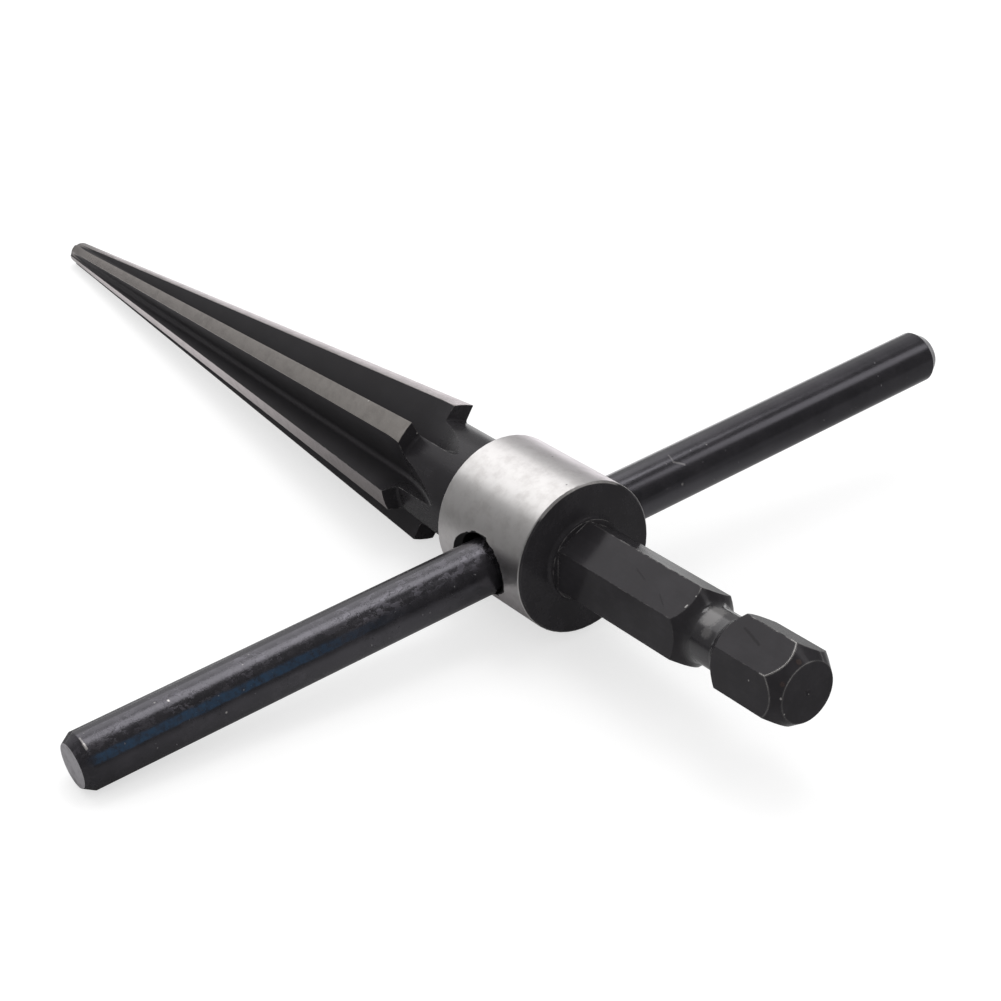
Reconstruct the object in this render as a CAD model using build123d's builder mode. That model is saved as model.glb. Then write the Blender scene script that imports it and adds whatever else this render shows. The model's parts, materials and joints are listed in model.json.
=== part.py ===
from build123d import *
import os
from math import acos, atan2, cos, degrees, radians, sin, sqrt, tan

# Taper reamer with a sliding cross handle, in millimetres.
# It is worked out in the tool's own frame first: X runs along the tool from the blade's tip to the
# hex shank, Y is the way of the handle, and the origin is on the tool's axis at the cross hole.
# At the end both pieces are turned as they lie at rest on a table, with +Z up.

# Collar and the cross hole for the handle
collar_diameter = 13.9
collar_length = 12.05
hole_to_front = 5.95
collar_edge_break = 0.2
hole_drop = 0.2
countersink_width = 0.7
countersink_angle = 118

# Handle rod, and its play in the hole
handle_diameter = 5.0
handle_length = 92.0
handle_play = 0.8
handle_chamfer_length = 0.9
handle_chamfer_depth = 0.58
handle_lift = 0.1
handle_shift = 0.43

# Hexagonal shank with its quick-change groove
hex_across_flats = 6.35
hex_length = 27.2
hex_roll = 22.5
hex_end_inset = 0.555
hex_end_angle = 35
hex_foot_ledge = 0.035
hex_foot_height = 0.45
hex_foot_fillet = 0.35
groove_from_end = 9.65
groove_mouth = 4.35
groove_depth = 0.725
groove_wall_angle = 45
groove_root_fillet = 0.8
dimple_diameter = 0.6
dimple_depth = 0.15

# Neck between the collar and the blade
neck_diameter = 10.15
neck_length = 9.15
neck_fillet = 0.3

# Tapered blade
blade_length = 77.1
blade_big_diameter = 13.6
blade_tip_diameter = 2.64
tip_chamfer = 0.4
tooth_count = 6
tooth_roll = 51.8
last_tooth_lag = 5.5
land_relief_angle = 8.2
relief_share = 0.83

# Flutes, ground by a wheel with an angled rim that runs out in the neck
flute_angle = 68
flute_root_fillet = 0.4
flute_depth_at_tip = 0.4
flute_depth_at_run_out = 3.695
run_out_before_neck = 2.15
wheel_radius = 19.0

# Extra reach of a cutting shape past the metal that it cuts
clear_of_metal = 1.0

# Places along the tool that follow from the sizes above
collar_front = hole_to_front
collar_back = hole_to_front - collar_length
shank_end = collar_front + hex_length
neck_end = collar_back - neck_length
tip_end = neck_end - blade_length
run_out_start = neck_end - run_out_before_neck
collar_radius = collar_diameter / 2
hole_radius = (handle_diameter + handle_play) / 2
neck_radius = neck_diameter / 2
hex_inner_radius = hex_across_flats / 2
hex_corner_radius = hex_inner_radius / cos(radians(30))
hex_end_radius = hex_inner_radius - hex_end_inset
hex_foot_radius = hex_corner_radius + hex_foot_ledge
groove_core_radius = hex_inner_radius - groove_depth
blade_big_radius = blade_big_diameter / 2
blade_tip_radius = blade_tip_diameter / 2
tooth_pitch = 360 / tooth_count

# Taper of the cutting edges and of the flutes' root line
edge_slope = (blade_big_radius - blade_tip_radius) / blade_length
flute_root_at_tip = blade_tip_radius - flute_depth_at_tip
flute_root_at_run_out = blade_big_radius - edge_slope * run_out_before_neck - flute_depth_at_run_out
root_slope = (flute_root_at_run_out - flute_root_at_tip) / (run_out_start - tip_end)


# One flute's cutter, for a tooth whose cutting edge stands on +Y: a radial face, a filleted root and a
# sloping tooth back. It runs straight along the root line and then round the wheel to the run-out.
cutter_reach = blade_big_radius + clear_of_metal
root_direction = Vector(1, root_slope, 0).normalized()
run_out_plane = Plane(
    origin=(run_out_start, flute_root_at_run_out, 0), x_dir=(0, 0, -1), z_dir=root_direction
)
wheel_axis = Axis(run_out_plane.from_local_coords(Vector(0, wheel_radius, 0)), (0, 0, 1))
back_rise = cutter_reach / tan(radians(flute_angle))
lift_out_of_neck = neck_radius + clear_of_metal - flute_root_at_run_out
wheel_swing = degrees(acos(1 - lift_out_of_neck / wheel_radius))

with BuildPart() as flute_cutter:
    with BuildSketch(run_out_plane) as flute_profile:
        with BuildLine():
            Polyline(
                (0, 0),
                (0, cutter_reach),
                (cutter_reach, cutter_reach),
                (cutter_reach, back_rise),
                close=True,
            )
        make_face()
        fillet(flute_profile.vertices().sort_by_distance(run_out_plane.origin)[0], flute_root_fillet)
    extrude(amount=-(run_out_start - tip_end + clear_of_metal) / root_direction.X)
    revolve(profiles=flute_profile.sketch, axis=wheel_axis, revolution_arc=wheel_swing)

# One land's relief: what stands outside a cone that shares the blade's apex and leans so that the land
# falls away behind its cutting edge by the relief angle.
apex = Vector(neck_end - blade_big_radius / edge_slope, 0, 0)
cone_length = clear_of_metal + collar_back - apex.X
edge_direction = Vector(1, edge_slope, 0)
lean = radians(land_relief_angle)
cone_direction = Vector(1, edge_slope * (1 - cos(lean)), -edge_slope * sin(lean))
cone_half_angle = radians(cone_direction.get_angle(edge_direction))
cone_plane = Plane(origin=apex, x_dir=cone_direction, z_dir=cone_direction.cross(edge_direction))

with BuildPart() as relief_cutter:
    with BuildSketch(Plane.XY):
        with BuildLine():
            Polyline(
                (tip_end - clear_of_metal, 0),
                (tip_end - clear_of_metal, cutter_reach),
                (neck_end, cutter_reach),
                (neck_end, 0),
                close=True,
            )
        make_face()
    revolve(axis=Axis.X, revolution_arc=tooth_pitch * relief_share)
    with BuildSketch(cone_plane):
        with BuildLine():
            Polyline(
                (0, 0),
                (cone_length, 0),
                (cone_length, cone_length * tan(cone_half_angle)),
                close=True,
            )
        make_face()
    revolve(axis=Axis(apex, cone_direction), mode=Mode.SUBTRACT)


# The reamer's body: blade, neck, collar and hex shank are one piece of steel
with BuildPart() as reamer_body:
    # Blade blank, neck and collar, turned about the tool's axis
    with BuildSketch(Plane.XY) as turned_profile:
        with BuildLine():
            Polyline(
                (tip_end, 0),
                (tip_end, blade_tip_radius - tip_chamfer + tip_chamfer * edge_slope),
                (tip_end + tip_chamfer, blade_tip_radius + tip_chamfer * edge_slope),
                (neck_end, blade_big_radius),
                (neck_end, neck_radius),
                (collar_back, neck_radius),
                (collar_back, collar_radius - collar_edge_break),
                (collar_back + collar_edge_break, collar_radius),
                (collar_front - collar_edge_break, collar_radius),
                (collar_front, collar_radius - collar_edge_break),
                (collar_front, 0),
                close=True,
            )
        make_face()
        neck_corners = turned_profile.vertices().filter_by_position(Axis.Y, neck_radius, neck_radius)
        fillet(neck_corners, neck_fillet)
    revolve(axis=Axis.X)

    # Round foot of the shank, with its fillet on the collar's face
    with BuildSketch(Plane.YZ.offset(collar_front)):
        Circle(hex_foot_radius)
    extrude(amount=hex_foot_height)
    foot_root = edges().filter_by(GeomType.CIRCLE).filter_by_position(Axis.X, collar_front, collar_front)
    fillet(foot_root.sort_by(SortBy.RADIUS)[0], hex_foot_fillet)

    # Hex shank
    with BuildSketch(Plane.YZ.offset(collar_front)):
        RegularPolygon(hex_inner_radius, 6, major_radius=False, rotation=hex_roll)
    extrude(amount=hex_length)

    # Quick-change groove round the shank
    groove_middle = shank_end - groove_from_end
    wall_run = groove_depth / tan(radians(groove_wall_angle))
    rim_height = hex_corner_radius + clear_of_metal - groove_core_radius
    rim_run = rim_height / tan(radians(groove_wall_angle))
    core_half = groove_mouth / 2 - wall_run
    with BuildSketch(Plane.XY) as groove_profile:
        with BuildLine():
            Polyline(
                (groove_middle - core_half - rim_run, hex_corner_radius + clear_of_metal),
                (groove_middle - core_half, groove_core_radius),
                (groove_middle + core_half, groove_core_radius),
                (groove_middle + core_half + rim_run, hex_corner_radius + clear_of_metal),
                close=True,
            )
        make_face()
        fillet(groove_profile.vertices().group_by(Axis.Y)[0], groove_root_fillet)
    revolve(axis=Axis.X, mode=Mode.SUBTRACT)

    # Turned chamfer on the shank's end and the dimple in its middle
    chamfer_height = hex_corner_radius + clear_of_metal - hex_end_radius
    with BuildSketch(Plane.XY):
        with BuildLine():
            Polyline(
                (shank_end, hex_end_radius),
                (shank_end, hex_corner_radius + clear_of_metal),
                (
                    shank_end - chamfer_height / tan(radians(hex_end_angle)),
                    hex_corner_radius + clear_of_metal,
                ),
                close=True,
            )
        make_face()
    revolve(axis=Axis.X, mode=Mode.SUBTRACT)
    with BuildSketch(Plane.XY):
        with BuildLine():
            Polyline(
                (shank_end - dimple_depth, 0),
                (shank_end, dimple_diameter / 2),
                (shank_end, 0),
                close=True,
            )
        make_face()
    revolve(axis=Axis.X, mode=Mode.SUBTRACT)

    # Cross hole, countersunk at both mouths
    for side in (-1, 1):
        mouth = Plane(origin=(0, side * collar_radius, -hole_drop), z_dir=(0, side, 0))
        with Locations(mouth):
            CounterSinkHole(
                radius=hole_radius,
                counter_sink_radius=hole_radius + countersink_width,
                depth=collar_diameter,
                counter_sink_angle=countersink_angle,
            )

    # Flutes and the relief of the lands, one of each to a tooth. The pitch is uneven: the last tooth
    # stands nearer the one before it, and a second pass of the cutter widens the flute behind it.
    even_turns = [tooth_roll + tooth * tooth_pitch for tooth in range(tooth_count)]
    tooth_turns = even_turns[:-1] + [even_turns[-1] - last_tooth_lag]
    for tooth_turn in tooth_turns:
        add(flute_cutter.part, rotation=(tooth_turn, 0, 0), mode=Mode.SUBTRACT)
        add(relief_cutter.part, rotation=(tooth_turn, 0, 0), mode=Mode.SUBTRACT)
    add(flute_cutter.part, rotation=(tooth_roll - last_tooth_lag, 0, 0), mode=Mode.SUBTRACT)

# Handle rod, lying near the bottom of the cross hole
handle_axis_drop = hole_drop + handle_play / 2 - handle_lift
handle_plane = Plane(origin=(0, handle_shift, -handle_axis_drop), x_dir=(0, 1, 0), z_dir=(1, 0, 0))
handle_radius = handle_diameter / 2
half_handle = handle_length / 2

with BuildPart() as handle_rod:
    with BuildSketch(handle_plane):
        with BuildLine():
            Polyline(
                (-half_handle, 0),
                (-half_handle, handle_radius - handle_chamfer_depth),
                (-half_handle + handle_chamfer_length, handle_radius),
                (half_handle - handle_chamfer_length, handle_radius),
                (half_handle, handle_radius - handle_chamfer_depth),
                (half_handle, 0),
                close=True,
            )
        make_face()
    revolve(axis=Axis(handle_plane.origin, handle_plane.x_dir))

# Rest on a table: the tool tips forward until the blade's tip and the collar's rim both touch, and rolls
# until the handle's near end touches as well.
tip_contact = blade_tip_radius * cos(radians(tooth_pitch / 3))
pitch = atan2(collar_radius - tip_contact, collar_back - tip_end)
table_level = collar_back * sin(pitch) - collar_radius * cos(pitch)
handle_contact = half_handle - handle_chamfer_length - handle_shift
roll_sine = 0.0
for _ in range(20):
    axis_level = handle_axis_drop * sqrt(cos(pitch) ** 2 - roll_sine**2)
    rim_level = handle_radius * sqrt(1 - roll_sine**2)
    roll_sine = (-table_level - axis_level - rim_level) / handle_contact
up = Vector(sin(pitch), roll_sine, sqrt(cos(pitch) ** 2 - roll_sine**2))
forward = (Vector(1, 0, 0) - up * up.X).normalized()
turned = Plane(origin=(0, 0, 0), x_dir=forward, z_dir=up).location.inverse()

# The origin is under the middle of the whole tool's box, on the table
footprint = Compound(children=[turned * reamer_body.part, turned * handle_rod.part]).bounding_box()
middle = footprint.center()
rest_pose = Location((-middle.X, -middle.Y, -footprint.min.Z)) * turned

os.makedirs("parts", exist_ok=True)
reamer_body.part.move(rest_pose)
handle_rod.part.move(rest_pose)
reamer_body.part.label = "reamer_body"
handle_rod.part.label = "handle_rod"
export_step(reamer_body.part, "parts/reamer_body.step")
export_step(handle_rod.part, "parts/handle_rod.step")
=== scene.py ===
"""Looks of a taper reamer with a sliding cross handle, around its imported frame. Metres, +Z up."""

import json
import logging
import math
from dataclasses import dataclass
from enum import Enum
from typing import Any, Iterable

import bpy
from mathutils import Euler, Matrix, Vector

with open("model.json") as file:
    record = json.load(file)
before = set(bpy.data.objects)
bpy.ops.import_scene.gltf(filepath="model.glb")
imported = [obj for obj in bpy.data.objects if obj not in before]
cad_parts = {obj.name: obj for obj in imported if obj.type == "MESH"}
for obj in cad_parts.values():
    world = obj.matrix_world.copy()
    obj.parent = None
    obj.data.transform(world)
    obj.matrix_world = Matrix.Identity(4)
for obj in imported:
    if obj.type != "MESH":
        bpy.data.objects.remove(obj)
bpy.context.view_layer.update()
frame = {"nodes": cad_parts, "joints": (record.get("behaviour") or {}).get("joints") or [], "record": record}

LOG = logging.getLogger("reamer")
MM = 0.001
MEAN = 0.5  # of a noise
SHANK_REACH = 33.15  # millimetres from the cross hole to the shank's end

Triple = tuple[float, float, float]
Colour = Triple
Range = tuple[float, float]

WHITE: Colour = (1.0, 1.0, 1.0)
RIGHTWARD: Triple = (1.0, 0.0, 0.0)


class Node(str, Enum):
    """Names of the two pieces."""

    BODY = "reamer_body"
    ROD = "handle_rod"


class Number:
    """One number's socket in a node tree: an expression on such values adds its Math nodes."""

    def __init__(self, book: "Book", socket: bpy.types.NodeSocket) -> None:
        """Wraps a socket.

        Args:
            book: the node tree that the socket is in.
            socket: an output socket that carries one number.
        """
        self.book = book
        self.socket = socket

    def math(self, operation: str, *others: Any) -> "Number":
        """Adds one Math node on this number and others, and returns its result."""
        return self.book.math(operation, self, *others)

    def __add__(self, other: Any) -> "Number":
        """Adds."""
        return self.math("ADD", other)

    def __radd__(self, other: Any) -> "Number":
        """Adds to a plain number."""
        return self.book.math("ADD", other, self)

    def __sub__(self, other: Any) -> "Number":
        """Subtracts."""
        return self.math("SUBTRACT", other)

    def __rsub__(self, other: Any) -> "Number":
        """Subtracts from a plain number."""
        return self.book.math("SUBTRACT", other, self)

    def __mul__(self, other: Any) -> "Number":
        """Multiplies."""
        return self.math("MULTIPLY", other)

    def __rmul__(self, other: Any) -> "Number":
        """Multiplies a plain number."""
        return self.book.math("MULTIPLY", other, self)

    def __truediv__(self, other: Any) -> "Number":
        """Divides."""
        return self.math("DIVIDE", other)

    def __rtruediv__(self, other: Any) -> "Number":
        """Divides a plain number."""
        return self.book.math("DIVIDE", other, self)

    def __abs__(self) -> "Number":
        """Drops the sign."""
        return self.math("ABSOLUTE")

    def step(self, start: float, end: float) -> "Number":
        """Goes smoothly from 0 at start to 1 at end, of which either may be the larger.

        Args:
            start: the value up to which the result is 0.
            end: the value from which the result is 1.

        Returns:
            A number from 0 to 1.
        """
        values = {"Value": self, "From Min": min(start, end), "From Max": max(start, end)}
        node = self.book.node("ShaderNodeMapRange", {"interpolation_type": "SMOOTHSTEP"}, values)
        rising = Number(self.book, node.outputs["Result"])
        return rising if start < end else 1.0 - rising

    def above(self, low: float) -> "Number":
        """Squeezed, so that it goes from low to 1 where it went from 0 to 1."""
        return self * (1.0 - low) + low


class Book:
    """A node tree that is being filled."""

    def __init__(self, tree: bpy.types.NodeTree) -> None:
        """Takes an empty node tree."""
        self.tree = tree

    def feed(self, socket: bpy.types.NodeSocket, value: Any) -> None:
        """Links one input socket to a number or an output socket, or sets it to a plain value.

        Args:
            socket: the input socket.
            value: what it gets.
        """
        source = value.socket if isinstance(value, Number) else value
        if isinstance(source, bpy.types.NodeSocket):
            self.tree.links.new(source, socket)
        else:
            socket.default_value = source

    def node(self, kind: str, settings: dict | None = None, values: dict | None = None) -> bpy.types.Node:
        """Adds one node.

        Args:
            kind: the node's type.
            settings: its properties, set first.
            values: what its input sockets get, by name or index.

        Returns:
            The node.
        """
        node = self.tree.nodes.new(kind)
        for name, setting in (settings or {}).items():
            setattr(node, name, setting)
        for name, value in (values or {}).items():
            self.feed(node.inputs[name], value)
        return node

    def math(self, operation: str, *values: Any) -> Number:
        """Adds one Math node on numbers or plain floats, and returns its result."""
        node = self.node("ShaderNodeMath", {"operation": operation}, dict(enumerate(values)))
        return Number(self, node.outputs[0])

    def most(self, first: Any, *others: Any) -> Any:
        """The largest of several numbers at each point.

        Args:
            first: a number or a plain float.
            others: the numbers that it is compared with.

        Returns:
            The largest.
        """
        for other in others:
            first = self.math("MAXIMUM", first, other)
        return first

    def angle(self, up: Number, across: Number) -> Number:
        """The angle of a direction in degrees, from across toward up."""
        return self.math("ARCTAN2", up, across) * (180 / math.pi)

    def vector(self, operation: str, *values: Any) -> bpy.types.NodeSocket:
        """Adds one Vector Math node and returns its vector."""
        node = self.node("ShaderNodeVectorMath", {"operation": operation}, dict(enumerate(values)))
        return node.outputs["Vector"]

    def measured(self, operation: str, a: Any, b: Any) -> Number:
        """Adds one Vector Math node that gives a number, and returns that number."""
        node = self.node("ShaderNodeVectorMath", {"operation": operation}, {0: a, 1: b})
        return Number(self, node.outputs["Value"])

    def dot(self, a: Any, b: Any) -> Number:
        """The dot product of two vectors: how far a point lies along an axis."""
        return self.measured("DOT_PRODUCT", a, b)

    def distance(self, a: Any, b: Any) -> Number:
        """The distance between two points."""
        return self.measured("DISTANCE", a, b)

    def mixed(self, share: Any, a: Any, b: Any) -> Number:
        """A number that goes from a to b."""
        node = self.node("ShaderNodeMix", {"data_type": "FLOAT"}, {0: share, 2: a, 3: b})
        return Number(self, node.outputs[0])

    def tinted(self, share: Any, a: Any, b: Any) -> bpy.types.NodeSocket:
        """A colour that goes from a to b."""
        node = self.node("ShaderNodeMix", {"data_type": "RGBA"}, {0: share, 6: opaque(a), 7: opaque(b)})
        return node.outputs[2]


def opaque(colour: Any) -> Any:
    """A colour as its socket wants it: a plain one gets an alpha of one, a link stays."""
    return (*colour, 1.0) if isinstance(colour, tuple) else colour


@dataclass(frozen=True)
class ToolFrame:
    """The tool's own axes in the frame at rest: x along the tool to the shank, y along the handle."""

    origin: Vector
    x: Vector
    y: Vector
    z: Vector

    @classmethod
    def found(cls, record: dict, joints: list[dict]) -> "ToolFrame":
        """Finds the axes from the shank's mount and the handle's joint.

        Args:
            record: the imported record.
            joints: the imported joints, of which the handle's slide is the only one.

        Returns:
            The axes.
        """
        mount = next(m for m in record["mounts"] if m["name"] == "hex_shank")
        x = Vector(mount["axis"]).normalized()
        y = Vector(joints[0]["axis"])
        y = (y - x * y.dot(x)).normalized()
        return cls(Vector(mount["pos_m"]) - x * SHANK_REACH * MM, x, y, x.cross(y))


class Place:
    """Where a point of a surface is in the tool's own frame, in millimetres, and which way it faces."""

    def __init__(self, book: Book, axes: ToolFrame) -> None:
        """Adds the nodes that turn object coordinates into the tool's own.

        Args:
            book: the material's node tree.
            axes: the tool's axes.
        """
        source = book.node("ShaderNodeTexCoord")
        offset = book.vector("SUBTRACT", source.outputs["Object"], axes.origin)
        normal = source.outputs["Normal"]
        self.x, self.y, self.z = (book.dot(offset, axis / MM) for axis in (axes.x, axes.y, axes.z))
        self.facing_x, self.facing_y, self.facing_z = (
            book.dot(normal, axis) for axis in (axes.x, axes.y, axes.z)
        )
        self.point = book.node("ShaderNodeCombineXYZ", {}, {0: self.x, 1: self.y, 2: self.z}).outputs[0]
        self.radius = (self.y * self.y + self.z * self.z).math("SQRT")
        self.facing_out = (self.facing_y * self.y + self.facing_z * self.z) / self.radius


@dataclass(frozen=True)
class Grain:
    """Soft noise from 0 to 1. Its scale is features a millimetre on the tool, a metre on the floor.

    Stretch multiplies each axis first, for streaks. Cut makes patches of it, from 0 to 1 between its
    two values.
    """

    scale: float
    detail: float = 2.0
    roughness: float = 0.5
    stretch: Triple | None = None
    cut: Range | None = None

    def at(self, book: Book, point: Any) -> Number:
        """The noise at a point.

        Args:
            book: the material's node tree.
            point: the point.

        Returns:
            A number from 0 to 1.
        """
        if self.stretch is not None:
            point = book.vector("MULTIPLY", point, self.stretch)
        values = {"Vector": point, "Scale": self.scale, "Detail": self.detail, "Roughness": self.roughness}
        noise = Number(book, book.node("ShaderNodeTexNoise", {}, values).outputs["Fac"])
        return noise if self.cut is None else noise.step(*self.cut)


@dataclass
class Coat:
    """What a finish says of each point of a surface: a colour, numbers, and a height in millimetres."""

    colour: Any
    metallic: Any
    roughness: Any
    height: Any

    def over(self, book: Book, below: "Coat", share: Number) -> "Coat":
        """This coat where share is 1, and the one below where it is 0.

        Args:
            book: the material's node tree.
            below: the other coat.
            share: how much of this coat there is.

        Returns:
            The coat of both.
        """
        return Coat(
            book.tinted(share, below.colour, self.colour),
            book.mixed(share, below.metallic, self.metallic),
            book.mixed(share, below.roughness, self.roughness),
            book.mixed(share, below.height, self.height),
        )


@dataclass(frozen=True)
class Mark:
    """A nick, speck or scratch: a short ragged line from start to end, in the tool's millimetres.

    Its outline is soft between inside and outside, which are shares of its half width.
    """

    start: Triple
    end: Triple
    half_width: float
    strength: float = 1.0
    outside: float = 1.25
    inside: float = 0.6
    no_length: float = 0.001

    def on(self, book: Book, place: Place, ragged: Number) -> Number:
        """How strongly a point shows the mark.

        Args:
            book: the material's node tree.
            place: the surface's place.
            ragged: noise that frays the mark's outline.

        Returns:
            A number from 0 to the mark's strength.
        """
        way = Vector(self.end) - Vector(self.start)
        length = way.length
        offset = book.vector("SUBTRACT", place.point, self.start)
        along = book.dot(offset, way / max(length, self.no_length))
        beyond = book.most(along - length, along * -1.0, 0.0)
        away = (book.dot(offset, offset) - along * along + beyond * beyond).math("SQRT")
        away = away + (ragged - MEAN) * self.half_width
        return away.step(self.half_width * self.outside, self.half_width * self.inside) * self.strength


def speck(x: float, y: float, z: float, half_width: float = 0.1, strength: float = 1.0) -> Mark:
    """A mark that is one small spot."""
    return Mark((x, y, z), (x, y, z), half_width, strength)


def all_marks(book: Book, place: Place, marks: Iterable[Mark]) -> Number:
    """The strongest of several marks at each point.

    Args:
        book: the material's node tree.
        place: the surface's place.
        marks: the marks.

    Returns:
        A number from 0 to 1.
    """
    ragged = Grain(5.0, 2.0, 0.6).at(book, place.point)
    return book.most(*(mark.on(book, place, ragged) for mark in marks))


@dataclass(frozen=True)
class BlackOxide:
    """Black oxide on machined steel: a thin dark skin, slightly glossy, cloudy and finely grained."""

    deep: Colour = (0.0215, 0.0202, 0.0223)
    faded: Colour = (0.03, 0.0282, 0.0312)
    fading: Range = (0.38, 0.68)
    roughness: float = 0.27
    cloud: Grain = Grain(0.35, 4.0, 0.6)
    cloud_unevenness: float = 0.1
    drawn: Grain = Grain(1.5, 3.0, 0.6, stretch=(0.15, 2.0, 2.0))
    drawn_unevenness: float = 0.04
    drawn_share: float = 0.2
    grain: Grain = Grain(6.0, 3.0, 0.6)
    grain_height: float = 0.0006
    ior: float = 1.3
    gloss_tint: Colour = (1.0, 0.96, 1.0)
    oil_roughness: float = 0.2

    def coat(self, book: Book, place: Place) -> Coat:
        """The coat with its clouds, drawn lines and grain.

        Args:
            book: the material's node tree.
            place: the surface's place.

        Returns:
            The coat.
        """
        cloud = self.cloud.at(book, place.point)
        drawn = self.drawn.at(book, place.point)
        fade = (cloud * (1.0 - self.drawn_share) + drawn * self.drawn_share).step(*self.fading)
        colour = book.tinted(fade, self.deep, self.faded)
        clouded = (cloud - MEAN) * self.cloud_unevenness
        rough = self.roughness + clouded + (drawn - MEAN) * self.drawn_unevenness
        return Coat(colour, 0.0, rough, self.grain.at(book, place.point) * self.grain_height)


@dataclass(frozen=True)
class GroundSteel:
    """Bare ground steel: satin, with soft mottling and fine lines across the way that it was ground."""

    colour: Colour = (0.74, 0.722, 0.714)
    stained: Colour = (0.64, 0.62, 0.61)
    staining: Range = (0.4, 0.72)
    metallic: float = 1.0
    roughness: float = 0.33
    unevenness: float = 0.12
    mottle: Grain = Grain(0.8, 5.0, 0.65)
    waviness: float = 0.003
    lines: Grain = Grain(1.6, 2.0, 0.6, stretch=(7.0, 0.5, 0.5))
    line_height: float = 0.0006

    def coat(self, book: Book, place: Place) -> Coat:
        """The coat with its grinding lines.

        Args:
            book: the material's node tree.
            place: the surface's place.

        Returns:
            The coat.
        """
        mottle = self.mottle.at(book, place.point)
        lines = self.lines.at(book, place.point)
        colour = book.tinted(mottle.step(*self.staining), self.colour, self.stained)
        rough = self.roughness + (mottle - MEAN) * self.unevenness + (lines - MEAN) * self.unevenness
        return Coat(colour, self.metallic, rough, lines * self.line_height + mottle * self.waviness)


@dataclass(frozen=True)
class Stain:
    """A stain, score or pit in a coat, which keeps the relief of that coat. Its depth is in millimetres."""

    colour: Colour
    roughness: float = 0.6
    depth: float = 0.0
    metallic: float = 0.0

    def over(self, book: Book, coat: Coat, share: Number) -> Coat:
        """The coat with the stain where share is 1.

        Args:
            book: the material's node tree.
            coat: the coat that is stained.
            share: how much of the stain there is.

        Returns:
            The coat of both.
        """
        stain = Coat(self.colour, self.metallic, self.roughness, coat.height - self.depth)
        return stain.over(book, coat, share)


@dataclass(frozen=True)
class Edges:
    """Worn edges: the shading is rounded over them, and bare steel shows through along them.

    Lengths are in millimetres. Faint wear starts and ends at the given turns of the surface.
    """

    rounding: float = 0.07
    wear_width: float = 0.2
    samples: int = 6
    bare_and_lit: Colour = (0.66, 0.635, 0.62)
    bare_roughness: float = 0.32
    patches: Grain = Grain(1.3, 3.0, 0.6, cut=(0.42, 0.7))
    faint_turn: Range = (0.05, 0.3)
    strength: float = 0.4

    def bevel(self, book: Book, radius: float) -> bpy.types.NodeSocket:
        """The normal, rounded over the edges by a radius in millimetres."""
        values = {"Radius": radius * MM}
        return book.node("ShaderNodeBevel", {"samples": self.samples}, values).outputs[0]

    def rounded(self, book: Book) -> bpy.types.NodeSocket:
        """The normal that the piece is shaded with."""
        return self.bevel(book, self.rounding)

    def turned(self, book: Book) -> Number:
        """How far the surface turns round a point, 0 away from edges."""
        flat = book.node("ShaderNodeNewGeometry").outputs["Normal"]
        return 1.0 - book.dot(self.bevel(book, self.wear_width), flat)

    def broken(self, book: Book, place: Place) -> Number:
        """Noise that breaks the wear up into patches."""
        return self.patches.at(book, place.point)

    def faint(self, turned: Number, broken: Number) -> Number:
        """The faint wear that every edge has."""
        return turned.step(*self.faint_turn) * broken * self.strength

    def coat(self) -> Coat:
        """Bare, slightly polished steel."""
        return Coat(self.bare_and_lit, 1.0, self.bare_roughness, 0.0)


def dressed(
    book: Book, coat: Coat, normal: bpy.types.NodeSocket, black: BlackOxide, oiled: Number | float = 0.0
) -> None:
    """Ends a material's tree in one shader.

    Args:
        book: the material's node tree.
        coat: what the surface is like.
        normal: the normal that the fine relief stands on.
        black: the black skin, whose gloss is the same all over the piece.
        oiled: how much of a clear oily film lies on it.
    """
    relief = {"Height": coat.height, "Distance": MM, "Strength": 1.0, "Normal": normal}
    bump = book.node("ShaderNodeBump", {}, relief)
    finish = {
        "Base Color": opaque(coat.colour),
        "Metallic": coat.metallic,
        "Roughness": coat.roughness,
        "IOR": black.ior,
        "Specular Tint": opaque(black.gloss_tint),
        "Coat Weight": oiled,
        "Coat Roughness": black.oil_roughness,
        "Normal": bump.outputs[0],
    }
    shader = book.node("ShaderNodeBsdfPrincipled", {}, finish)
    book.node("ShaderNodeOutputMaterial", {}, {"Surface": shader.outputs[0]})


def new_book(name: str) -> tuple[bpy.types.Material, Book]:
    """Makes a new material.

    Args:
        name: the material's name.

    Returns:
        The material and its empty node tree.
    """
    material = bpy.data.materials.new(name)
    material.use_nodes = True
    material.node_tree.nodes.clear()
    return material, Book(material.node_tree)


def put_on(material: bpy.types.Material, node: Node) -> None:
    """Puts a material on every slot of a piece.

    Args:
        material: the material.
        node: the piece.
    """
    for slot in frame["nodes"][node.value].material_slots:
        slot.material = material
    LOG.info("dressed %s", node.value)


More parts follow.
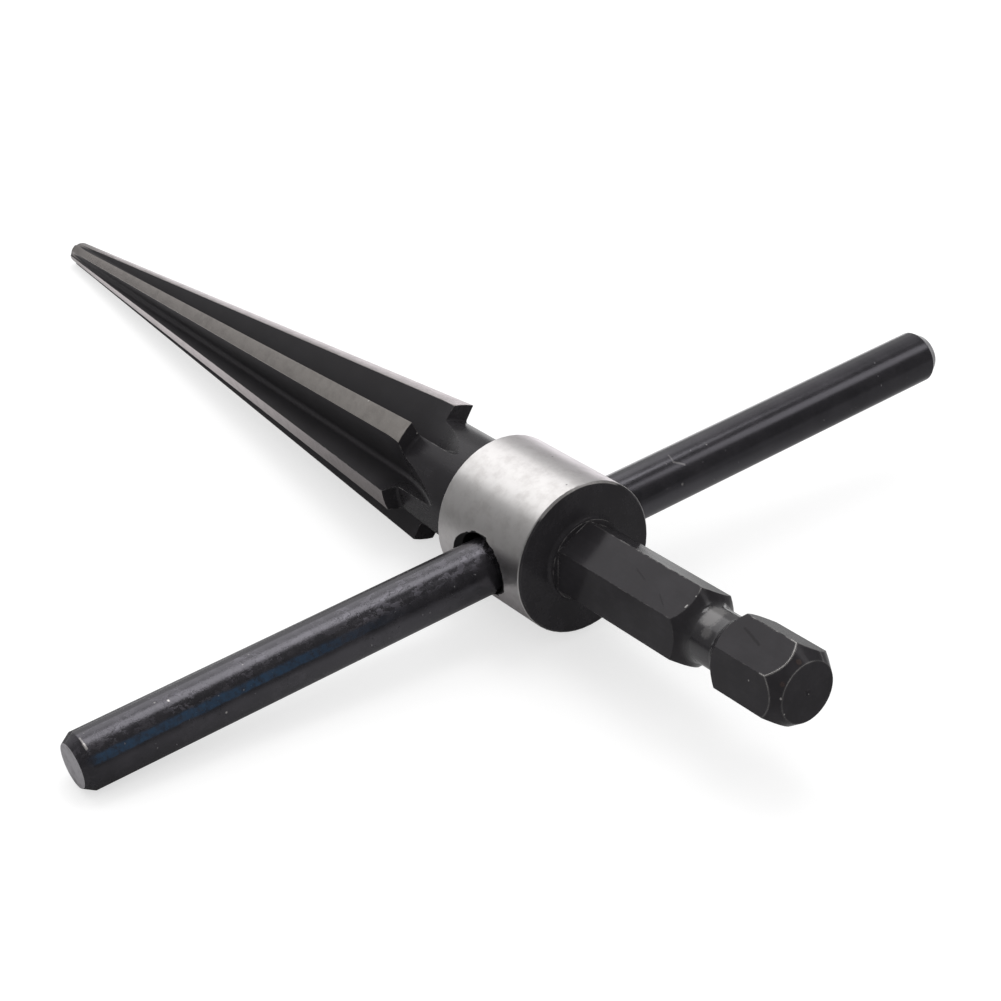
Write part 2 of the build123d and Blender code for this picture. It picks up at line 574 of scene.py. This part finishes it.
@dataclass(frozen=True)
class BodyWearAndHighlights:
    """Where the body's edges are worn bright: the shank's end, one long corner and the collar's rim. Kept to
    their upper, lit sides, this brightness is partly painted highlight.

    Each range goes from no wear to full wear. Lengths are in millimetres, angles in degrees round the
    tool's axis, and a turn is how far the surface turns at an edge.
    """

    end_from: Range = (31.0, 31.2)
    end_radius: Range = (0.8, 1.2)
    end_border: Range = (2.6, 2.9)
    end_inner_share: float = 0.5
    end_turn: Range = (0.004, 0.02)
    upper_side: tuple[float, float] = (-0.38, 0.92)
    upper_facing: Range = (0.5, 0.9)
    lower_share: float = 0.2
    end_unbroken: float = 0.6
    corner_angle: float = 82.5
    corner_reach: Range = (9.0, 4.0)
    corner_from: Range = (7.5, 10.0)
    corner_turn: Range = (0.02, 0.1)
    corner_strength: float = 0.8
    rim_inset: float = 0.1
    rim_reach: Range = (0.13, 0.07)
    rim_radius: Range = (6.72, 6.8)
    rim_from: Range = (50.0, 56.0)
    rim_to: Range = (128.0, 120.0)
    rim_unbroken: float = 0.5
    rim_strength: float = 0.8

    def end(self, place: Place, turned: Number, broken: Number) -> Number:
        """The arcs on the shank's end, most on its border and its upper side, where they are partly painted
        highlight.

        Args:
            place: the surface's place.
            turned: how far the surface turns.
            broken: noise that breaks the wear up.

        Returns:
            A number from 0 to 1.
        """
        on_end = place.x.step(*self.end_from) * place.radius.step(*self.end_radius)
        on_end = on_end * place.radius.step(*self.end_border).above(self.end_inner_share)
        side_y, side_z = self.upper_side
        upper = (place.facing_y * side_y + place.facing_z * side_z).step(*self.upper_facing)
        arcs = turned.step(*self.end_turn) * on_end * upper.above(self.lower_share)
        return arcs * broken.above(self.end_unbroken)

    def corner(self, place: Place, angle: Number, turned: Number, broken: Number) -> Number:
        """The upper long corner of the hexagon, worn bright and partly painted highlight.

        Args:
            place: the surface's place.
            angle: the point's angle round the tool's axis.
            turned: how far the surface turns.
            broken: noise that breaks the wear up.

        Returns:
            A number from 0 to the corner's strength.
        """
        on_corner = abs(angle - self.corner_angle).step(*self.corner_reach)
        on_corner = on_corner * place.x.step(*self.corner_from)
        return turned.step(*self.corner_turn) * on_corner * broken * self.corner_strength

    def rim(self, place: Place, angle: Number, broken: Number, front: float) -> Number:
        """The stretch of the collar's front edge along its lit top: partly wear, partly painted highlight.

        Args:
            place: the surface's place.
            angle: the point's angle round the tool's axis.
            broken: noise that breaks the wear up.
            front: where the collar's front is.

        Returns:
            A number from 0 to the rim's strength.
        """
        on_rim = abs(place.x - (front - self.rim_inset)).step(*self.rim_reach)
        on_rim = on_rim * place.radius.step(*self.rim_radius)
        stretch = angle.step(*self.rim_from) * angle.step(*self.rim_to)
        return on_rim * stretch * broken.above(self.rim_unbroken) * self.rim_strength


@dataclass
class ReamerBody:
    """Blade, neck, collar and shank, with the collar's rim and the lands ground bright. Millimetres.

    Sizes come first, then the finishes with where each begins and ends, then the single marks.
    """

    collar_front: float = 5.95
    collar_length: float = 12.05
    collar_radius: float = 6.95
    neck_end: float = -15.25
    blade_length: float = 77.1
    blade_big_radius: float = 6.8
    blade_tip_radius: float = 1.32
    groove_middle: float = 23.5
    hole_radius: float = 2.9
    hole_drop: float = 0.2
    mouth_radius: float = 3.6
    mouth_slope: float = 1.664

    black: BlackOxide = BlackOxide()
    edges: Edges = Edges()
    worn_and_lit: BodyWearAndHighlights = BodyWearAndHighlights()
    flute_dust: Colour = (0.038, 0.0362, 0.0385)
    dust_all_over: float = 0.12
    dust_on_blade: float = 0.3
    flute_dullness: float = 0.26
    blade_fade: float = 3.0
    hex_from: Range = (6.5, 8.0)
    hex_polish: float = 0.11
    oiled_reach: Range = (2.0, 1.5)
    oiled_radius: Range = (3.1, 2.9)

    land: GroundSteel = GroundSteel(
        (0.39, 0.366, 0.344),
        (0.32, 0.3, 0.282),
        roughness=0.22,
        waviness=0.001,
        lines=Grain(1.6, 2.0, 0.6, stretch=(6.0, 0.8, 0.8)),
    )
    land_height: Range = (0.84, 0.87)
    land_facing: Range = (0.72, 0.8)
    land_end: float = 0.02
    tip_end: Range = (0.25, 0.6)
    tip_shaded: float = 9.0
    tip_share: float = 0.5

    rim: GroundSteel = GroundSteel()
    rim_inset: Range = (0.1, 0.2)
    rim_depth: Range = (0.09, 0.05)
    lip: Stain = Stain((0.008, 0.0075, 0.008))
    lip_ragged: Grain = Grain(1.3, 3.0, 0.6)
    lip_whole: float = 0.52
    lip_bite: float = 0.75
    lip_border: Range = (0.02, 0.1)
    lip_side: Range = (3.5, 4.0)
    plain_side: Range = (4.5, 3.5)

    scored: Stain = Stain((0.008, 0.0075, 0.008), roughness=0.5, depth=0.004)
    brown: Stain = Stain((0.07, 0.042, 0.032))
    bare_and_highlight_marks: tuple[Mark, ...] = (
        speck(33.05, -2.6, 0.72, 0.09),
        speck(33.13, -2.42, -0.77, 0.07, 0.8),
        speck(33.1, 0.12, -0.23, 0.06, 0.25),
        Mark((11.0, 2.42, 2.2), (11.9, 2.55, 2.1), 0.13),
        speck(21.12, -0.36, 3.26, 0.07, 0.45),
        Mark((21.1, -1.5, 2.82), (21.12, -1.3, 2.9), 0.07, 0.5),
        speck(-33.9, -2.14, 5.03, 0.1, 0.8),
        speck(30.03, -3.06, 1.1, 0.08, 0.4),
        # The two marks in the groove are painted highlights where the light falls in it, drawn as rubbed
        # bare steel.
        Mark((22.95, 0.1, 2.45), (23.2, -0.74, 2.34), 0.8, 0.17),
        speck(23.73, -1.7, 1.77, 0.5, 0.1),
    )
    land_marks: tuple[Mark, ...] = (
        speck(-22.84, -2.39, 5.79, 0.1, 0.8),
        speck(-15.3, -2.14, 5.05, 0.1, 0.6),
    )
    dark_marks: tuple[Mark, ...] = (
        Mark((27.0, -0.55, 3.18), (29.2, -1.1, 2.97), 0.12, 0.55),
        Mark((14.4, -0.9, 3.06), (15.9, -1.3, 2.9), 0.06, 0.5),
        Mark((18.2, -1.7, 2.73), (19.3, -2.3, 2.5), 0.06, 0.5),
        speck(-0.25, 2.12, 6.62, 0.09, 0.6),
        speck(4.9, -0.3, 6.94, 0.08, 0.6),
    )
    brown_marks: tuple[Mark, ...] = (
        speck(32.77, -0.4, 2.85, 0.24, 0.35),
        speck(32.88, -2.2, 1.75, 0.22, 0.3),
    )

    def past_lip(self, book: Book, place: Place) -> Number:
        """Keeps clear of the ragged black lip of the cross hole.

        Args:
            book: the material's node tree.
            place: the surface's place.

        Returns:
            1 outside the lip, 0 on it and in the hole.
        """
        down = place.z + self.hole_drop
        from_hole = (place.x * place.x + down * down).math("SQRT")
        depth = self.collar_radius - abs(place.y)
        mouth = book.most(self.mouth_radius - depth * self.mouth_slope, self.hole_radius)
        ragged = (self.lip_ragged.at(book, place.point) - self.lip_whole) * self.lip_bite
        return (from_hole + ragged.math("MINIMUM", 0.0) - mouth).step(*self.lip_border)

    def on_rim(self, book: Book, place: Place, past_lip: Number) -> Number:
        """Finds the collar's ground outside.

        Args:
            book: the material's node tree.
            place: the surface's place.
            past_lip: 1 outside the lip of the cross hole.

        Returns:
            1 on the collar's outside, 0 elsewhere and on the lip.
        """
        half = self.collar_length / 2
        start, full = self.rim_inset
        inside = abs(place.x - (self.collar_front - half)).step(half - start, half - full)
        beside = book.most(past_lip, abs(place.y).step(*self.plain_side))
        start, full = self.rim_depth
        return inside * beside * place.radius.step(self.collar_radius - start, self.collar_radius - full)

    def on_land(self, place: Place) -> Number:
        """Finds the lands.

        Args:
            place: the surface's place.

        Returns:
            1 on the lands, less toward the tip, and 0 in the flutes and on the neck.
        """
        slope = (self.blade_big_radius - self.blade_tip_radius) / self.blade_length
        edge = place.x * slope + (self.blade_big_radius - self.neck_end * slope)
        high = (place.radius / edge).step(*self.land_height) * place.facing_out.step(*self.land_facing)
        before_neck = place.x.step(self.neck_end + self.land_end, self.neck_end - self.land_end)
        tip = self.neck_end - self.blade_length
        start, full = self.tip_end
        behind_tip = place.x.step(tip + start, tip + full)
        behind_tip = behind_tip * place.x.step(tip, tip + self.tip_shaded).above(self.tip_share)
        return high * before_neck * behind_tip

    def wear_and_highlights(self, book: Book, place: Place) -> Number:
        """Finds where the skin is worn off: faintly on most edges, and brightly on a few upper edges, which
        are partly painted highlight.

        Args:
            book: the material's node tree.
            place: the surface's place.

        Returns:
            A number from 0 to 1.
        """
        turned = self.edges.turned(book)
        broken = self.edges.broken(book, place)
        angle = book.angle(place.z, place.y)
        return book.most(
            self.edges.faint(turned, broken),
            self.worn_and_lit.end(place, turned, broken),
            self.worn_and_lit.corner(place, angle, turned, broken),
            self.worn_and_lit.rim(place, angle, broken, self.collar_front),
        )

    def skin(self, book: Book, place: Place) -> Coat:
        """The black skin: dusty and dull in the flutes, polished on the hexagon.

        Args:
            book: the material's node tree.
            place: the surface's place.

        Returns:
            The coat.
        """
        coat = self.black.coat(book, place)
        on_blade = place.x.step(self.neck_end, self.neck_end - self.blade_fade)
        dust = on_blade * self.dust_on_blade + self.dust_all_over
        coat.colour = book.tinted(dust, coat.colour, self.flute_dust)
        coat.roughness = coat.roughness + on_blade * self.flute_dullness
        coat.roughness = coat.roughness - place.x.step(*self.hex_from) * self.hex_polish
        return coat

    def dress(self, axes: ToolFrame) -> None:
        """Puts the finish on the piece.

        Args:
            axes: the tool's axes.
        """
        material, book = new_book("tool_steel_finish")
        place = Place(book, axes)
        # bare_and_lit holds real edge wear and specks together with painted highlights on the upper edges
        # and in the groove.
        bare_and_lit = book.most(self.wear_and_highlights(book, place), all_marks(book, place, self.bare_and_highlight_marks))
        coat = self.edges.coat().over(book, self.skin(book, place), bare_and_lit)
        coat = self.land.coat(book, place).over(book, coat, self.on_land(place))
        coat = self.edges.coat().over(book, coat, all_marks(book, place, self.land_marks))
        past_lip = self.past_lip(book, place)
        coat = self.rim.coat(book, place).over(book, coat, self.on_rim(book, place, past_lip))
        coat = self.lip.over(book, coat, (1.0 - past_lip) * abs(place.y).step(*self.lip_side))
        coat = self.brown.over(book, coat, all_marks(book, place, self.brown_marks))
        coat = self.scored.over(book, coat, all_marks(book, place, self.dark_marks))
        oiled = abs(place.x - self.groove_middle).step(*self.oiled_reach)
        oiled = oiled * place.radius.step(*self.oiled_radius)
        dressed(book, coat, self.edges.rounded(book), self.black, oiled)
        put_on(material, Node.BODY)


@dataclass
class HandleRod:
    """Round handle rod, blackened, with bare ends. Its near half is scuffed, and the lighter scuffs kept to
    its lit top are partly painted highlight. Millimetres.

    Sizes come first, then the skin, the painted blue reflection, the rubbed places and the single marks.
    """

    half_length: float = 46.0
    middle: float = 0.43
    end_depth: Range = (0.03, 0.01)

    black: BlackOxide = BlackOxide(
        (0.0125, 0.012, 0.0135),
        (0.022, 0.0205, 0.023),
        roughness=0.22,
        ior=1.8,
        gloss_tint=(0.93, 0.9, 1.0),
    )
    edges: Edges = Edges(strength=0.6)
    bare_end: GroundSteel = GroundSteel((0.9, 0.885, 0.9), (0.6, 0.59, 0.6), metallic=0.8, roughness=0.42)
    drawn: Grain = Grain(1.5, 3.0, 0.6, stretch=(3.0, 0.1, 3.0))
    drawn_roughness: float = 0.1
    smooth_to_scuffed: Range = (4.0, -6.0)
    scuff: Grain = Grain(2.2, 6.0, 0.7)
    scuff_roughness: float = 0.2
    scuff_height: float = 0.006
    smooth_height: float = 0.002

    # A painted blue reflection: a streak held at one facing angle round the rod.
    blue_reflection_paint: Colour = (0.016, 0.042, 0.08)
    blue_reflection_from: Range = (16.5, 21.5)
    blue_reflection_to: Range = (40.0, 32.0)
    blue_reflection_near: Range = (-45.2, -43.7)
    blue_reflection_far: Range = (-14.0, -30.0)
    blue_reflection_wander: Grain = Grain(0.5, 3.0)
    blue_reflection_wandering: float = 9.0
    blue_reflection_patches: Grain = Grain(1.8, 4.0, 0.7, cut=(0.3, 0.62))
    blue_reflection_least: float = 0.35

    handled: Grain = Grain(0.22, cut=(0.4, 0.6))
    top_up: Range = (0.5, 0.75)
    top_forward: Range = (-0.1, 0.12)
    scuffs_and_sheen: Colour = (0.075, 0.07, 0.082)
    rubbed_patches: Grain = Grain(1.5, 6.0, 0.68, stretch=(1.0, 0.6, 1.0), cut=(0.5, 0.56))
    rubbed_handled: float = 0.6
    rubbed_near: float = 0.2
    rubbed_everywhere: float = 0.05
    rubbed_below: float = 0.15
    rubbed_height: float = 0.006
    pit: Stain = Stain((0.006, 0.006, 0.007), depth=0.006)
    pits: Grain = Grain(3.4, cut=(0.66, 0.72))
    pits_handled: float = 0.8
    pits_everywhere: float = 0.05
    fleck: Stain = Stain((0.4, 0.39, 0.4), roughness=0.4, metallic=1.0)
    flecks: Grain = Grain(2.6, 1.0, 0.4, cut=(0.75, 0.82))
    fleck_strength: float = 0.4

    bare_and_highlight_marks: tuple[Mark, ...] = (
        Mark((0.45, 14.1, 1.96), (1.3, 13.95, 1.64), 0.08, 0.16),
        Mark((1.3, 13.95, 1.64), (1.8, 14.77, 1.23), 0.1, 0.22),
        speck(2.48, 13.83, -0.16, 0.14, 0.2),
        speck(0.93, -37.14, 1.82, 0.11, 0.7),
        speck(0.53, -38.14, 1.94, 0.08, 0.4),
        speck(2.5, -33.3, -0.53, 0.09, 0.6),
        speck(0.9, -30.43, 1.83, 0.07, 0.3),
        speck(1.17, 17.95, 1.71, 0.08, 0.4),
        # The two marks on the near end's chamfer are partly wear, partly a painted highlight along its lit
        # edge.
        Mark((0.5, -44.6, 1.95), (1.1, -44.62, 1.73), 0.08, 0.4),
        Mark((1.1, -44.62, 1.73), (1.5, -44.61, 1.5), 0.11, 0.7),
    )

    def painted_blue_reflection(self, book: Book, place: Place) -> Number:
        """Finds the patchy streak of painted blue reflection along the near half, held at one facing angle
        round the rod.

        Args:
            book: the material's node tree.
            place: the surface's place.

        Returns:
            Up to 1 in the streak, 0 elsewhere.
        """
        wander = (self.blue_reflection_wander.at(book, place.point) - MEAN) * self.blue_reflection_wandering
        angle = book.angle(place.facing_z, place.facing_x) + wander
        across = angle.step(*self.blue_reflection_from) * angle.step(*self.blue_reflection_to)
        along = place.y.step(*self.blue_reflection_near) * place.y.step(*self.blue_reflection_far)
        return across * along * self.blue_reflection_patches.at(book, place.point).above(self.blue_reflection_least)

    def skin(self, book: Book, place: Place) -> Coat:
        """The black skin with its rubbed patches, lightened on the lit top as partly painted highlight, the
        painted blue reflection, pits and flecks.

        Args:
            book: the material's node tree.
            place: the surface's place.

        Returns:
            The coat.
        """
        coat = self.black.coat(book, place)
        scuff = self.scuff.at(book, place.point)
        near_half = place.y.step(*self.smooth_to_scuffed)
        scuffed = (scuff - MEAN) * near_half * self.scuff_roughness
        drawn = (self.drawn.at(book, place.point) - MEAN) * self.drawn_roughness
        coat.roughness = coat.roughness + scuffed + drawn
        handled = self.handled.at(book, place.point) * near_half
        # The lighter scuff patches are kept to the lit top, where they are partly painted highlight.
        lit_top = place.facing_z.step(*self.top_up) * place.facing_x.step(*self.top_forward)
        scuffs_and_sheen = handled * self.rubbed_handled + near_half * self.rubbed_near + self.rubbed_everywhere
        scuffs_and_sheen = scuffs_and_sheen * self.rubbed_patches.at(book, place.point) * lit_top.above(self.rubbed_below)
        relief = scuff * (near_half * self.scuff_height + self.smooth_height)
        coat.height = coat.height + relief + scuffs_and_sheen * self.rubbed_height
        coat.colour = book.tinted(scuffs_and_sheen, coat.colour, self.scuffs_and_sheen)
        # Painted blue reflection along one facing side of the near half.
        coat.colour = book.tinted(self.painted_blue_reflection(book, place), coat.colour, self.blue_reflection_paint)
        pitted = self.pits.at(book, place.point) * (handled * self.pits_handled + self.pits_everywhere)
        coat = self.pit.over(book, coat, pitted)
        return self.fleck.over(book, coat, self.flecks.at(book, place.point) * self.fleck_strength)

    def dress(self, axes: ToolFrame) -> None:
        """Puts the finish on the piece.

        Args:
            axes: the tool's axes.
        """
        material, book = new_book("blackened_rod_finish")
        place = Place(book, axes)
        faint = self.edges.faint(self.edges.turned(book), self.edges.broken(book, place))
        # bare_and_lit holds real edge wear and specks together with the painted highlight on the near end's
        # chamfer.
        bare_and_lit = book.most(faint, all_marks(book, place, self.bare_and_highlight_marks))
        coat = self.edges.coat().over(book, self.skin(book, place), bare_and_lit)
        start, full = self.end_depth
        at_end = abs(place.y - self.middle).step(self.half_length - start, self.half_length - full)
        coat = self.bare_end.coat(book, place).over(book, coat, at_end)
        dressed(book, coat, self.edges.rounded(book), self.black)
        put_on(material, Node.ROD)


def direction(azimuth: float, elevation: float) -> Vector:
    """The way that two angles give.

    Args:
        azimuth: degrees from +X toward +Y.
        elevation: degrees above the ground.

    Returns:
        The unit vector.
    """
    turn, rise = math.radians(azimuth), math.radians(elevation)
    flat = math.cos(rise)
    return Vector((flat * math.cos(turn), flat * math.sin(turn), math.sin(rise)))


@dataclass(frozen=True)
class SoftBox:
    """A soft light: where it stands as seen from the tool, its size and brightness. Metres, degrees."""

    name: str
    azimuth: float
    elevation: float
    distance: float
    width: float
    height: float
    brightness: float

    def hang(self) -> None:
        """Makes the lamp, turned to the tool."""
        lamp = bpy.data.lights.new(self.name, "AREA")
        lamp.shape = "RECTANGLE"
        lamp.size = self.width
        lamp.size_y = self.height
        lamp.energy = self.brightness * math.pi * self.width * self.height
        thing = bpy.data.objects.new(self.name, lamp)
        bpy.context.scene.collection.objects.link(thing)
        away = direction(self.azimuth, self.elevation)
        thing.location = away * self.distance
        thing.rotation_euler = away.to_track_quat("Z", "Y").to_euler()
        LOG.info("hung %s", self.name)


def seen(book: Book) -> tuple[Number, Number]:
    """Asks what a ray comes from.

    Args:
        book: the node tree of a floor or a world.

    Returns:
        1 for rays from the camera, and 1 for rays from a mirroring or clear surface.
    """
    path = book.node("ShaderNodeLightPath").outputs
    mirrored = book.math("MAXIMUM", path["Is Glossy Ray"], path["Is Transmission Ray"])
    return Number(book, path["Is Camera Ray"]), mirrored


@dataclass(frozen=True)
class PaperFloor:
    """The floor: white to the camera; in the metal it is white with a painted glow behind the tool, and grey
    as painted shade before it. Metres.
    """

    half: float = 6.0
    seen_tone: float = 0.5
    seen_glow: float = 0.62
    bounce: float = 0.7
    white: float = 0.96
    grey: float = 0.56
    far_grey: float = 0.2
    grey_centre: Triple = (0.03, 0.0, 0.0)
    greying: Range = (0.012, 0.05)
    white_way: Triple = (-0.6, 0.8, 0.0)
    whitening: Range = (-0.015, 0.018)
    white_leftward: Range = (0.036, 0.014)
    mirrored_glow: float = 0.3
    glow_leftward: Range = (0.01, -0.008)
    grain: Grain = Grain(900.0)
    grain_depth: float = 0.006

    def lay(self) -> None:
        """Makes the floor's square and dresses it."""
        half = self.half
        mesh = bpy.data.meshes.new("floor")
        corners = [(-half, -half, 0.0), (half, -half, 0.0), (half, half, 0.0), (-half, half, 0.0)]
        mesh.from_pydata(corners, [], [(0, 1, 2, 3)])
        floor = bpy.data.objects.new("floor", mesh)
        bpy.context.scene.collection.objects.link(floor)
        mesh.materials.append(self.paper())

    def paper(self) -> bpy.types.Material:
        """The floor's material: matt paper that glows white to the camera, with painted shade and a painted
        glow in it that only reflections show.

        Returns:
            The material.
        """
        material, book = new_book("floor_paper")
        camera, mirrored = seen(book)
        where = book.node("ShaderNodeTexCoord").outputs["Object"]
        across = book.dot(where, RIGHTWARD)
        behind = book.dot(where, self.white_way).step(*self.whitening) * across.step(*self.white_leftward)
        # Grey before the tool is painted shade, seen only in reflections.
        far = book.distance(where, self.grey_centre).step(*self.greying)
        shown = book.mixed(behind, book.mixed(far, self.grey, self.far_grey), self.white)
        tone = book.mixed(camera, book.mixed(mirrored, self.bounce, shown), self.seen_tone)
        tone = tone - self.grain.at(book, where) * self.grain_depth
        colour = book.node("ShaderNodeCombineColor", {}, {0: tone, 1: tone, 2: tone}).outputs[0]
        matt = book.node("ShaderNodeBsdfDiffuse", {}, {"Color": colour}).outputs[0]
        # A painted glow behind the tool, seen only in reflections.
        lit = mirrored * behind * across.step(*self.glow_leftward) * self.mirrored_glow
        strength = book.mixed(camera, lit, self.seen_glow)
        glow = book.node("ShaderNodeEmission", {}, {"Strength": strength}).outputs[0]
        shader = book.node("ShaderNodeAddShader", {}, {0: matt, 1: glow})
        book.node("ShaderNodeOutputMaterial", {}, {"Surface": shader.outputs[0]})
        return material


@dataclass
class Studio:
    """Pale floor, pale background, soft lights and the camera. Metres, millimetres of lens, degrees."""

    floor: PaperFloor = PaperFloor()
    ambient: float = 0.75
    room_dim: float = 0.08
    glow_azimuth: float = 170.0
    glow_elevation: float = 30.0
    glow_strength: float = 0.62
    glow_falloff: float = 3.6
    boxes: tuple[SoftBox, ...] = (
        SoftBox("key_softbox", 178.0, 46.0, 1.6, 1.6, 0.86, 0.88),
        SoftBox("top_softbox", 126.0, 74.0, 1.6, 0.68, 0.68, 2.7),
        SoftBox("side_softbox", 56.0, 49.0, 1.6, 0.5, 0.5, 1.4),
    )
    camera_location: Triple = (0.150831, -0.093385, 0.099375)
    camera_angles: Triple = (59.8225, -0.2603, 54.0899)
    lens: float = 73.813
    sensor: float = 36.0
    nearest_seen: float = 0.005

    def light_room(self) -> None:
        """Lights the room: white to the camera, and in the metal a glow round the main light."""
        world = bpy.data.worlds.new("studio")
        bpy.context.scene.world = world
        world.use_nodes = True
        world.node_tree.nodes.clear()
        book = Book(world.node_tree)
        camera, mirrored = seen(book)
        way = book.node("ShaderNodeTexCoord").outputs["Generated"]
        near = book.dot(way, direction(self.glow_azimuth, self.glow_elevation))
        glow = ((near - 1.0) * self.glow_falloff).math("EXPONENT") * self.glow_strength + self.room_dim
        strength = book.mixed(camera, book.mixed(mirrored, self.ambient, glow), 1.0)
        values = {"Color": opaque(WHITE), "Strength": strength}
        background = book.node("ShaderNodeBackground", {}, values)
        book.node("ShaderNodeOutputWorld", {}, {"Surface": background.outputs[0]})

    def set_camera(self) -> None:
        """Sets the camera where the photograph was taken from."""
        camera = bpy.data.cameras.new("camera")
        camera.lens = self.lens
        camera.sensor_width = self.sensor
        camera.clip_start = self.nearest_seen
        thing = bpy.data.objects.new("camera", camera)
        bpy.context.scene.collection.objects.link(thing)
        thing.location = self.camera_location
        thing.rotation_euler = Euler([math.radians(a) for a in self.camera_angles])
        bpy.context.scene.camera = thing

    def build(self) -> None:
        """Makes the whole studio."""
        bpy.context.scene.view_settings.view_transform = "Standard"
        self.set_camera()
        self.floor.lay()
        self.light_room()
        for box in self.boxes:
            box.hang()


def main() -> None:
    """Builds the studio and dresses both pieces."""
    logging.basicConfig(level=logging.INFO)
    axes = ToolFrame.found(frame["record"], frame["joints"])
    Studio().build()
    ReamerBody().dress(axes)
    HandleRod().dress(axes)


if __name__ == "__main__":
    main()
